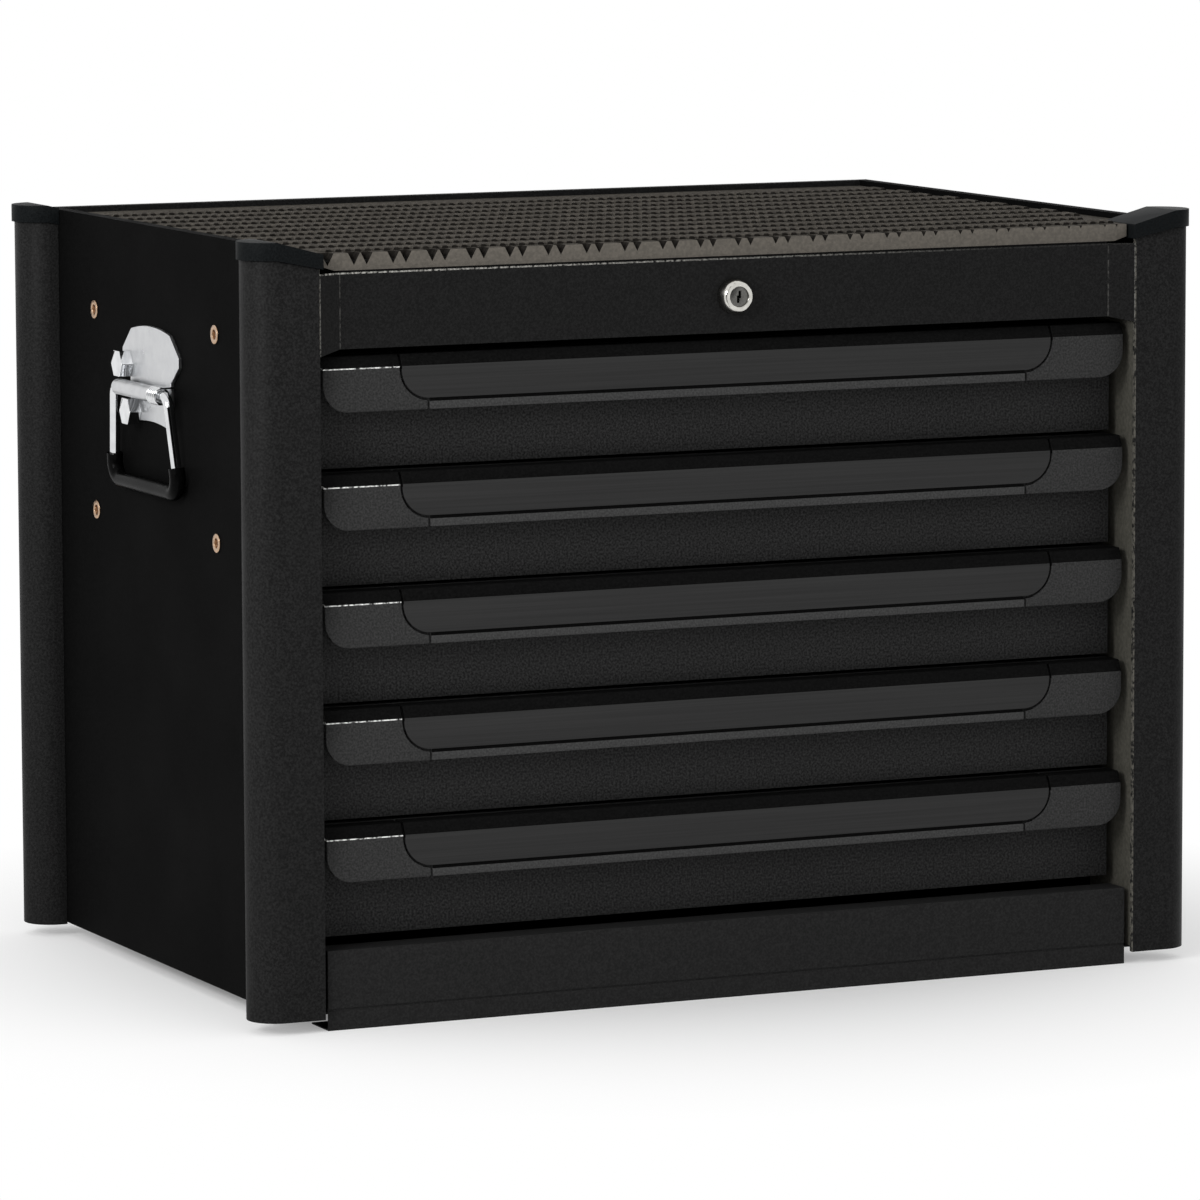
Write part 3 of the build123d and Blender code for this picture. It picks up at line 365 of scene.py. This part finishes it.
# The apron is the same rubber, stretched over the edge: smooth and paler in front, with painted shade inside
# its notches.
apron_rubber = speckled(
    "apron_rubber", "#56524c", "#645f58", grain_mm=2.0, roughness=0.55, shine=0.12, peel_mm=0.05
)
top_mat = pieces["top_mat"].data
top_mat.materials.append(apron_rubber)
top_mat.materials.append(rib_painted_shade)
# The apron's front takes its own rubber; the other faces near the front that don't look up, inside the
# notches, take the painted shade.
for face in top_mat.polygons:
    behind = face.center.y - mat_low[1]
    if behind < APRON_DEPTH * MM and face.normal.y < -FACING:
        face.material_index = 1
    elif behind < RIB_FRONT * MM and face.normal.z < FACING:
        face.material_index = 2

# Telescopic slides: roll formed steel channels that nest in one another, riveted to uprights and trays.
# The strip is zinc plated before it is formed, so the rolls leave fine lines along its length.
DRAWN_WIDTH = 0.8
DRAWN_LENGTH = 90.0
FROST = (0.22, 0.48)  # roughness of the bright and of the frosted lines
drawers = range(1, 6)
rails = ["slide_outer_rails"]
for number in drawers:
    rails += [f"drawer_{number}_middle_rails", f"drawer_{number}_inner_rails"]
# Bright zinc plate: a soft blue grey metal with drawn lines along the slide and a faint frost.
zinc_plate, tree, place = new_finish("zinc_plated_steel")
line_scale = (1 / (DRAWN_WIDTH * MM), 1 / (DRAWN_LENGTH * MM), 1 / (DRAWN_WIDTH * MM))
drawn = add(tree, "Mapping", {"Vector": place, "Scale": line_scale})
lines = add(tree, "TexNoise", {"Vector": drawn, "Scale": 1.0, "Detail": 3.0})
frost = add(tree, "MapRange", {"Value": lines, "To Min": FROST[0], "To Max": FROST[1]})
zinc_tone = tone_between(tree, lines, NOISE, "#8f9194", "#b4b6b8")
zinc = add(tree, "BsdfPrincipled", {"Base Color": zinc_tone, "Metallic": 1.0, "Roughness": frost})
add(tree, "OutputMaterial", {"Surface": zinc})
coat(zinc_plate, *rails)

# Drawers: a folded front pan welded to an open tray with hemmed sides, powder coated after welding.
# The front carries the same textured coat as the posts, and the tray a plainer one.
DRAWER_EDGE = 0.3  # under half of the tray's 1 mm wall, so that its rim keeps a flat
FRONT_DEPTH = 12.0  # how far the front's coat reaches back
fronts = [f"drawer_{number}_body" for number in drawers]
eased(DRAWER_EDGE, *fronts)
# Textured powder coat: grey specks one or two millimetres wide, close enough to read as a dark grey.
front_coat = speckled(
    "drawer_powder_coat", "#1a1a1a", "#363636", grain_mm=1.5, roughness=0.5, shine=0.05, peel_mm=0.12
)
# The tray's coat is thinner and flatter, with fainter specks.
tray_coat = speckled(
    "tray_powder_coat", "#1a1a1a", "#2b2b2b", grain_mm=1.5, roughness=0.55, shine=0.04, peel_mm=0.06
)
coat(tray_coat, *fronts)
for name in fronts:
    mesh = pieces[name].data
    mesh.materials.append(front_coat)
    front_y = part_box(name)[0][1]
    for face in mesh.polygons:
        if face.center.y < front_y + FRONT_DEPTH * MM:
            face.material_index = 1

# Drawer pulls: an extruded aluminium profile along each front, clipped between two moulded ends.
# Above the face a band leans back to the drawer. Below a groove runs a narrow lip for the fingers.
PULL_EDGE = 0.7
PULL_BAND = 8.0
PULL_FACE = 22.0
PULL_GROOVE = 2.05
BAND_SLACK = 0.1  # keeps the face's rounded top edge out of the band
HAIR_WIDTH = 1.2
HAIR_LENGTH = 160.0
DRAWER_PITCH = 78.9  # from one drawer to the next
FACE_TOP_Z = 128.5  # top edge of the lowest pull's face
GLINT_HALF = 0.8  # half of the bright line on that edge
# Satin black anodising: even and smooth, with hair lines along the extrusion.
pull_face, tree, place = new_finish("anodised_aluminium")
hair_scale = (1 / (HAIR_LENGTH * MM), 1 / (HAIR_WIDTH * MM), 1 / (HAIR_WIDTH * MM))
along = add(tree, "Mapping", {"Vector": place, "Scale": hair_scale})
hair = add(tree, "TexNoise", {"Vector": along, "Scale": 1.0, "Detail": 2.0})
hair_tone = tone_between(tree, hair, NOISE, "#2c2c2c", "#323232")
satin = add(tree, "BsdfPrincipled", {"Base Color": hair_tone, "Roughness": 0.45, "Specular IOR Level": 0.08})
add(tree, "OutputMaterial", {"Surface": satin})
# The same profile under the next drawer's edge and in its groove, painted a deeper black as painted shade.
pull_painted_shade = speckled(
    "pull_band_painted_shade", "#0a0a0a", "#121212", grain_mm=1.5, roughness=0.5, shine=0.02, peel_mm=0.02
)
# The lip is coated with a fine grain for the fingers: paler than the face, with a soft sheen.
lip_grain = speckled(
    "lip_grained_coat", "#323232", "#444444", grain_mm=1.4, roughness=0.5, shine=0.1, peel_mm=0.1
)


def end_painted_glint(tree, place):
    """The top edge of each left end's face, where a glint is painted as a line of specks."""
    axes = add(tree, "SeparateXYZ", {"Vector": place}).outputs
    rise = add(tree, "Math", {0: axes["Z"], 1: FACE_TOP_Z * MM}, operation="SUBTRACT")
    off = add(tree, "Math", {0: rise, 1: DRAWER_PITCH / 2 * MM}, operation="PINGPONG")
    edge = add(tree, "Math", {0: off, 1: GLINT_HALF * MM}, operation="LESS_THAN")
    left = add(tree, "Math", {0: axes["X"], 1: 0.0}, operation="LESS_THAN")
    return add(tree, "Math", {0: edge, 1: left}, operation="MULTIPLY")


# Spark grained ABS of the ends: grey specks on black, and a painted glint along the top edge of the left
# ends.
end_plastic = speckled(
    "end_grained_abs",
    "#272727",
    "#3c3c3c",
    grain_mm=1.4,
    roughness=0.4,
    shine=0.08,
    peel_mm=0.12,
    highlight_mask=end_painted_glint,
    highlight_colour="#f0f0ee",
)
for number in drawers:
    profile, ends = f"drawer_{number}_pull", f"drawer_{number}_pull_ends"
    eased(PULL_EDGE, profile, ends)
    for name, face_finish in ((profile, pull_face), (ends, end_plastic)):
        top_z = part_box(name)[1][2]
        mesh = pieces[name].data
        for finish in (face_finish, pull_painted_shade, lip_grain):
            mesh.materials.append(finish)
        # The band and the groove take the painted shade; the profile's lip takes its grain.
        for face in mesh.polygons:
            below = top_z - face.center.z
            below_face = below - (PULL_BAND + PULL_FACE) * MM
            if below < (PULL_BAND - BAND_SLACK) * MM or 0 < below_face < PULL_GROOVE * MM:
                face.material_index = 1
            elif name == profile and below_face > 0:
                face.material_index = 2

# Centre lock: a turned brass housing, nickel plated, held through the fascia by a nut, with a cylinder in it.
# Behind it a rod and a crank lower the lock bar, which slides in guides on the back panel.
HOUSING_EDGE = 0.35
CYLINDER_EDGE = 0.15
SCRATCH_GLOSS = 0.4  # how far the scratches change the roughness, as a share of it
eased(HOUSING_EDGE, "lock_housing", segments=3)
eased(CYLINDER_EDGE, "lock_cylinder")


def plated(name, dark, light, roughness, scratch_mm):
    """Plated metal whose tone and gloss drift a little along fine scratches."""
    made, tree, place = new_finish(name)
    drift = add(tree, "TexNoise", {"Vector": place, "Scale": 1 / (scratch_mm * MM), "Detail": 4.0})
    span = {"To Min": (1 - SCRATCH_GLOSS) * roughness, "To Max": (1 + SCRATCH_GLOSS) * roughness}
    gloss = add(tree, "MapRange", {"Value": drift, **span})
    tone = tone_between(tree, drift, NOISE, dark, light)
    metal = add(tree, "BsdfPrincipled", {"Base Color": tone, "Metallic": 1.0, "Roughness": gloss})
    add(tree, "OutputMaterial", {"Surface": metal})
    return made


# Bright nickel on the bezel: warm white metal with a soft mirror.
bright_nickel = plated("bright_nickel", "#c2c0ba", "#d8d6d0", roughness=0.12, scratch_mm=3.0)
coat(bright_nickel, "lock_housing")
# The cylinder's face is left turned, so it is a duller and darker grey.
turned_nickel = plated("turned_nickel", "#5c5b58", "#747370", roughness=0.35, scratch_mm=1.0)
coat(turned_nickel, "lock_cylinder")
# Zinc plate on the hidden lock pieces: pale and slightly rough.
lock_zinc = plated("lock_zinc_plate", "#8d8e90", "#aeafb1", roughness=0.35, scratch_mm=6.0)
coat(lock_zinc, "lock_nut", "lock_guides", "lock_rod", "lock_bar")

# Handles: a chromed bracket bolted to each side, with a sprung wire bail that hangs from its rolled barrel.
# A rubber grip is moulded round the bail's foot, and a coil round its front end pulls it back to the panel.
PANEL_X = 329.0
PLATE = 3.0
PIVOT_X = 339.0
PIVOT_Y = 10.0
PIVOT_Z = 411.0
SHIELD = [(37, 41), (54, 26.5), (54, 20), (39, 8), (39, -25)]  # half of the plate's outline from the pivot
CROWN = 3.7  # rise of the plate's top edge
HOLLOW = 3.8  # rise of its bottom edge
ARC_STEPS = 12
BARREL_R = 5.6
BARREL_BORE = 3.65
BARREL_Y = (-24.0, 44.0)  # from the pivot
BARREL_STEPS = 48
WEB = 4.0  # thickness of the sheet between plate and barrel
BRACKET_EDGE = 0.6
BOLT_EDGE = 0.8


def at_pivot(side, x, y, z):
    """A place on one side's handle: x from the chest's middle outwards, y and z from the pivot."""
    return side * x * MM, (PIVOT_Y + y) * MM, (PIVOT_Z + z) * MM


arc = [1 - 2 * step / ARC_STEPS for step in range(1, ARC_STEPS)]
bottom = [(SHIELD[-1][0] * a, SHIELD[-1][1] + HOLLOW * (1 - a * a)) for a in arc]
crown = [(-SHIELD[0][0] * a, SHIELD[0][1] + CROWN * (1 - a * a)) for a in arc]
outline = SHIELD + bottom + [(-y, z) for y, z in reversed(SHIELD)] + crown
web_x = (PANEL_X + PLATE, PIVOT_X - (BARREL_R + BARREL_BORE) / 2)
web_size = ((web_x[1] - web_x[0]) * MM, (BARREL_Y[1] - BARREL_Y[0]) * MM, WEB * MM)
wall = [(BARREL_BORE, BARREL_Y[0]), (BARREL_R, BARREL_Y[0])]
wall += [(BARREL_R, BARREL_Y[1]), (BARREL_BORE, BARREL_Y[1])]
for name, side in (("left_handle_bracket", -1), ("right_handle_bracket", 1)):
    shape = bmesh.new()
    back = shape.faces.new([shape.verts.new(at_pivot(side, PANEL_X, y, z)) for y, z in outline])
    raised = bmesh.ops.extrude_face_region(shape, geom=[back], use_keep_orig=True)["geom"]
    raised = [part for part in raised if isinstance(part, bmesh.types.BMVert)]
    bmesh.ops.translate(shape, verts=raised, vec=(side * PLATE * MM, 0, 0))
    web = bmesh.ops.create_cube(shape, size=1.0)["verts"]
    bmesh.ops.scale(shape, verts=web, vec=web_size)
    bmesh.ops.translate(shape, verts=web, vec=at_pivot(side, sum(web_x) / 2, sum(BARREL_Y) / 2, 0))
    ring = [shape.verts.new(at_pivot(side, PIVOT_X, y, r)) for r, y in wall]
    ring_edges = [shape.edges.new((ring[i - 1], ring[i])) for i in range(len(ring))]
    bmesh.ops.spin(
        shape,
        geom=ring + ring_edges,
        cent=at_pivot(side, PIVOT_X, 0, 0),
        axis=(0, 1, 0),
        angle=2 * math.pi,
        steps=BARREL_STEPS,
        use_merge=True,
    )
    bmesh.ops.recalc_face_normals(shape, faces=shape.faces)
    soften(stand_for(name, shape), BRACKET_EDGE, segments=3)
eased(BOLT_EDGE, "handle_bolts", segments=3)
# Bright chrome over nickel: a clear mirror, white where it faces the light and black where it faces the coat.
bright_chrome = plated("bright_chrome", "#d2d3d5", "#e2e3e4", roughness=0.06, scratch_mm=8.0)
coat(bright_chrome, "left_bail", "right_bail", "handle_bolts", "left_spring", "right_spring")
# The pressed plate was chromed without polishing: the same metal with a satin haze.
satin_chrome = plated("satin_chrome", "#c2c3c5", "#d0d1d2", roughness=0.33, scratch_mm=8.0)
coat(satin_chrome, "left_handle_bracket", "right_handle_bracket")
coat(lock_zinc, "handle_nuts")
# Glossy black rubber: a thin sheen on top of the bend and almost no colour of its own.
grip_rubber = speckled(
    "grip_rubber", "#040404", "#080808", grain_mm=3.0, roughness=0.25, shine=0.03, peel_mm=0.03
)
coat(grip_rubber, "left_grip", "right_grip")

# Rivet nuts: flanged inserts of yellow passivated steel, clinched into the side panels around each handle.
# Their flanges stand a millimetre proud and their threads run back through the sheet.
NUT_EDGE = 0.3
eased(NUT_EDGE, "left_rivet_nuts", "right_rivet_nuts")
# Yellow passivated zinc: a soft brass tone, satin, with small drifts from the bath.
passivated = plated("yellow_passivated_steel", "#a8876a", "#c9ad92", roughness=0.3, scratch_mm=2.0)
coat(passivated, "left_rivet_nuts", "right_rivet_nuts")

# Studio floor: white paper that runs out of the view and fades to plain white away from the chest.
# It keeps the chest's shadow, and what lies beyond it is the white sky. Sizes are in metres from here on.
FLOOR_HALF = 1.2
FADE = (0.25, 0.65)  # distance from the middle where the fade starts and ends
floor_mesh = bpy.data.meshes.new("floor")
floor_shape = bmesh.new()
bmesh.ops.create_grid(floor_shape, x_segments=1, y_segments=1, size=FLOOR_HALF)
floor_shape.to_mesh(floor_mesh)
floor_shape.free()
floor = bpy.data.objects.new("floor", floor_mesh)
bpy.context.scene.collection.objects.link(floor)


def seen_rays(tree):
    """Rays of the camera, and of the mirrors and glass that the camera sees."""
    path = add(tree, "LightPath").outputs
    seen = add(tree, "Math", {0: path["Is Camera Ray"], 1: path["Is Glossy Ray"]}, operation="MAXIMUM")
    return add(tree, "Math", {0: seen, 1: path["Is Transmission Ray"]}, operation="MAXIMUM")


# Matt white paper: it shows the shadow softly, and far from the chest it is as white as the sky behind.
paper, tree, place = new_finish("floor_paper")
away = add(tree, "VectorMath", {0: place}, operation="LENGTH").outputs["Value"]
fade = add(tree, "MapRange", {"Value": away, "From Min": FADE[0], "From Max": FADE[1]})
plain = add(tree, "Math", {0: fade, 1: seen_rays(tree)}, operation="MULTIPLY")
matt_looks = {"Base Color": colour("#fbfbfb"), "Roughness": 0.9, "Specular IOR Level": 0.1}
matt = add(tree, "BsdfPrincipled", matt_looks)
white = add(tree, "Emission", {"Color": colour("#ffffff"), "Strength": 1.0})
add(tree, "OutputMaterial", {"Surface": add(tree, "MixShader", {0: plain, 1: matt, 2: white})})
floor_mesh.materials.append(paper)

# Studio light: a white sky, a little dimmer as light than as background, and a soft box at the left.
# A black cloth behind the camera, which only mirrors can see, gives the chrome a dark to show.
SKY_LIGHT = 0.8
SKY_SEEN = 1.0
BOX_SIZE = (1.2, 0.8)
BOX_WATTS = 32.0
BOX_AT = Vector((-2.2, -1.1, 1.3))
BOX_AIM = Vector((0, 0, 0.3))
CLOTH_HALF = (4.4, 2.6, 1)
CLOTH_AT = (-2.6, -5.7, 0.0)
CLOTH_TURN = math.radians(-24.4)
world = bpy.data.worlds.new("studio")
bpy.context.scene.world = world
world.use_nodes = True
tree = world.node_tree
tree.nodes.clear()
strength = add(tree, "MapRange", {"Value": seen_rays(tree), "To Min": SKY_LIGHT, "To Max": SKY_SEEN})
sky = add(tree, "Background", {"Color": colour("#ffffff"), "Strength": strength})
add(tree, "OutputWorld", {"Surface": sky})

soft_box = bpy.data.lights.new("soft_box", "AREA")
soft_box.shape = "RECTANGLE"
soft_box.size, soft_box.size_y = BOX_SIZE
soft_box.energy = BOX_WATTS
soft_box_object = bpy.data.objects.new("soft_box", soft_box)
bpy.context.scene.collection.objects.link(soft_box_object)
soft_box_object.location = BOX_AT
soft_box_object.rotation_euler = (BOX_AIM - BOX_AT).to_track_quat("-Z", "Y").to_euler()

cloth_mesh = bpy.data.meshes.new("black_cloth")
cloth_shape = bmesh.new()
bmesh.ops.create_grid(cloth_shape, x_segments=1, y_segments=1, size=1.0)
bmesh.ops.scale(cloth_shape, verts=cloth_shape.verts, vec=CLOTH_HALF)
cloth_shape.to_mesh(cloth_mesh)
cloth_shape.free()
cloth = bpy.data.objects.new("black_cloth", cloth_mesh)
bpy.context.scene.collection.objects.link(cloth)
cloth.matrix_world = (
    Matrix.Translation(CLOTH_AT)
    @ Matrix.Rotation(CLOTH_TURN, 4, "Z")
    @ Matrix.Rotation(math.pi / 2, 4, "X")
)
cloth.visible_camera = False
cloth.visible_diffuse = False
cloth.visible_shadow = False
# Black felt: it gives back almost no light.
felt = speckled("black_felt", "#040404", "#090909", grain_mm=4.0, roughness=0.9, shine=0.0, peel_mm=0.1)
cloth_mesh.materials.append(felt)

# Camera: a long lens at the photograph's viewing angle, from the front left and a little above.
# Its place, turn, tilt and roll were fitted to the straight edges of the chest.
CAMERA_AT = (-2.08819, -4.61108, 0.87583)
CAMERA_TURN = math.radians(-24.406)
CAMERA_TILT = math.radians(90 - 7.066)
CAMERA_ROLL = math.radians(-0.220)
camera = bpy.data.cameras.new("camera")
camera.sensor_width = 36.0
camera.lens = 215.005
camera.clip_end = 100
camera_object = bpy.data.objects.new("camera", camera)
bpy.context.scene.collection.objects.link(camera_object)
camera_object.matrix_world = (
    Matrix.Translation(CAMERA_AT)
    @ Matrix.Rotation(CAMERA_TURN, 4, "Z")
    @ Matrix.Rotation(CAMERA_TILT, 4, "X")
    @ Matrix.Rotation(CAMERA_ROLL, 4, "Z")
)
bpy.context.scene.camera = camera_object
bpy.context.scene.view_settings.view_transform = "Standard"
